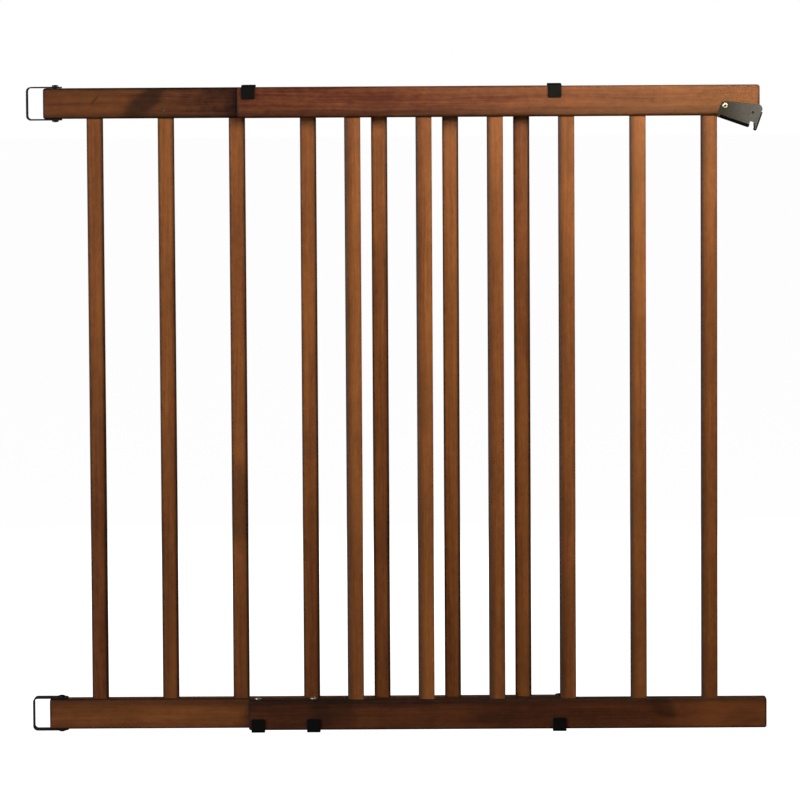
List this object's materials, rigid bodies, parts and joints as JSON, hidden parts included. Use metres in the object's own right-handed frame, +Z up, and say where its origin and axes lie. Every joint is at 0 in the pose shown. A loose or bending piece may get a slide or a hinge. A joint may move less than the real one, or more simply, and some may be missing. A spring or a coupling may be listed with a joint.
{
  "type": "safety baby gate",
  "caption": "Expanding wooden stair gate: slatted panels slide on each other and clamp to width, steel hinge loops hang it at one side and a gravity lever latches the other.",
  "frame": {"origin": "middle of the flat outer face of the lower hinge loop, at mid-height of the bottom rails", "axes": "+X from the hinge side to the latch side, the front faces -Y, +Z up"},
  "size_m": [0.8725, 0.0469, 0.7702],
  "materials": {
    "stained_wood": "walnut stain under satin lacquer",
    "pale_stained_wood": "walnut stain under satin lacquer, lighter board",
    "dark_stained_wood": "walnut stain under satin lacquer, darker board",
    "black_steel": "satin black coat",
    "latch_steel": "satin charcoal coat",
    "black_plastic": "matte",
    "bright_steel": "zinc plated",
    "dark_screws": "blackened"
  },
  "bodies": {
    "hinge_loops": {"lower_hinge_loop": "black_steel", "upper_hinge_loop": "black_steel"},
    "rear_panel": {"lower_hinge_screw_top": "dark_screws", "lower_hinge_screw_under": "dark_screws", "upper_hinge_screw_top": "dark_screws", "upper_hinge_screw_under": "dark_screws", "rear_top_rail": "stained_wood", "rear_bottom_rail": "stained_wood", "rear_slat_1": "stained_wood", "rear_slat_2": "stained_wood", "rear_slat_3": "stained_wood", "rear_slat_4": "stained_wood", "rear_slat_5": "stained_wood", "rear_slat_6": "stained_wood", "rear_slat_7": "stained_wood", "rear_top_bracket": "black_plastic", "rear_top_bracket_screw": "dark_screws", "rear_bottom_bracket": "black_plastic", "rear_bracket_bolt": "dark_screws", "rear_bracket_bolt_nut": "dark_screws"},
    "front_panel": {"front_top_rail": "pale_stained_wood", "front_bottom_rail": "dark_stained_wood", "front_slat_1": "stained_wood", "front_slat_2": "stained_wood", "front_slat_3": "stained_wood", "front_slat_4": "stained_wood", "front_slat_5": "stained_wood", "front_slat_6": "stained_wood", "front_top_bracket": "black_plastic", "front_top_bracket_screw": "dark_screws", "front_bottom_bracket_1": "black_plastic", "front_bottom_bracket_2": "black_plastic", "lock_bolt_1_nut": "bright_steel", "lock_bolt_2_nut": "bright_steel", "latch_spacer": "bright_steel", "latch_insert": "bright_steel", "latch_pivot_bolt": "bright_steel"},
    "latch": {"latch_lever": "latch_steel"},
    "lock_1": {"lock_bolt_1": "bright_steel"},
    "lock_2": {"lock_bolt_2": "bright_steel"}
  },
  "joints": [
    {"name": "gate_swing", "type": "hinge", "parent": "hinge_loops", "child": "rear_panel", "pos_m": [0.034, 0, 0], "axis": [0, 0, 1], "range_deg": [-90, 90]},
    {"name": "width_slide", "type": "slide", "parent": "rear_panel", "child": "front_panel", "axis": [1, 0, 0], "range_m": [-0.18, 0.275]},
    {"name": "latch_lift", "type": "hinge", "parent": "front_panel", "child": "latch", "pos_m": [0.8235, -0.0317, 0.7197], "axis": [0, -1, 0], "range_deg": [0, 21.5]},
    {"name": "lock_bolt_1_turn", "type": "hinge", "parent": "front_panel", "child": "lock_1", "pos_m": [0.2688, -0.02, 0.018], "axis": [0, 0, 1], "range_deg": [0, 720]},
    {"name": "lock_bolt_2_turn", "type": "hinge", "parent": "front_panel", "child": "lock_2", "pos_m": [0.3347, -0.02, 0.018], "axis": [0, 0, 1], "range_deg": [0, 720]}
  ]
}
